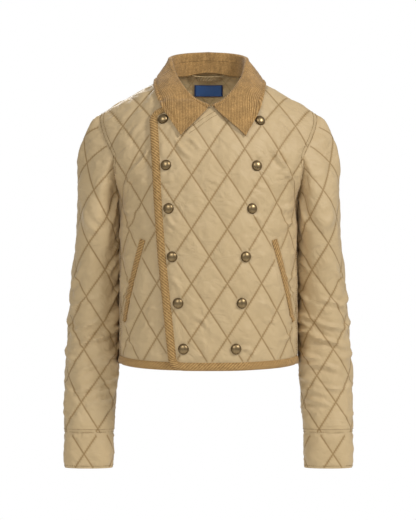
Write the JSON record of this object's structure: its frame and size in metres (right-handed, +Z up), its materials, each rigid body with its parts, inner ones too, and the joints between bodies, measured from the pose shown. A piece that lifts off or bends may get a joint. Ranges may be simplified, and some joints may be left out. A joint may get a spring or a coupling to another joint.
{
  "type": "quilted jacket",
  "caption": "Cropped double-breasted quilted jacket with corduroy collar, taped edges and snaps, in its hollow worn form.",
  "frame": {"origin": "in the plane of the shoulder seams, midway between the shoulders, where the wearer's shoulders carry the jacket", "axes": "+Z up, +X to the left of the wearer, -Y out of the front"},
  "size_m": [0.5202, 0.2472, 0.7513],
  "materials": {
    "shell": "tight-woven nylon, quilted, with a slight sheen",
    "tape": "cotton twill tape",
    "corduroy": "fine-wale corduroy",
    "label": "woven satin",
    "snap": "antiqued, domed"
  },
  "bodies": {
    "root": {"front_left": "shell", "front_right": "shell", "back": "shell", "sleeve_left": "shell", "sleeve_right": "shell", "cuff_left": "shell", "cuff_right": "shell", "tape_front_left": "tape", "tape_front_right": "tape", "tape_back": "tape", "collar_leaf": "corduroy", "collar_stand": "corduroy", "hanger_loop": "tape", "label": "label", "pocket_left": "tape", "pocket_right": "tape", "snap_edge_1": "snap", "snap_edge_2": "snap", "snap_edge_3": "snap", "snap_edge_4": "snap", "snap_edge_5": "snap", "snap_edge_6": "snap", "snap_inner_1": "snap", "snap_inner_2": "snap", "snap_inner_3": "snap", "snap_inner_4": "snap", "snap_inner_5": "snap", "snap_inner_6": "snap"}
  },
  "joints": []
}
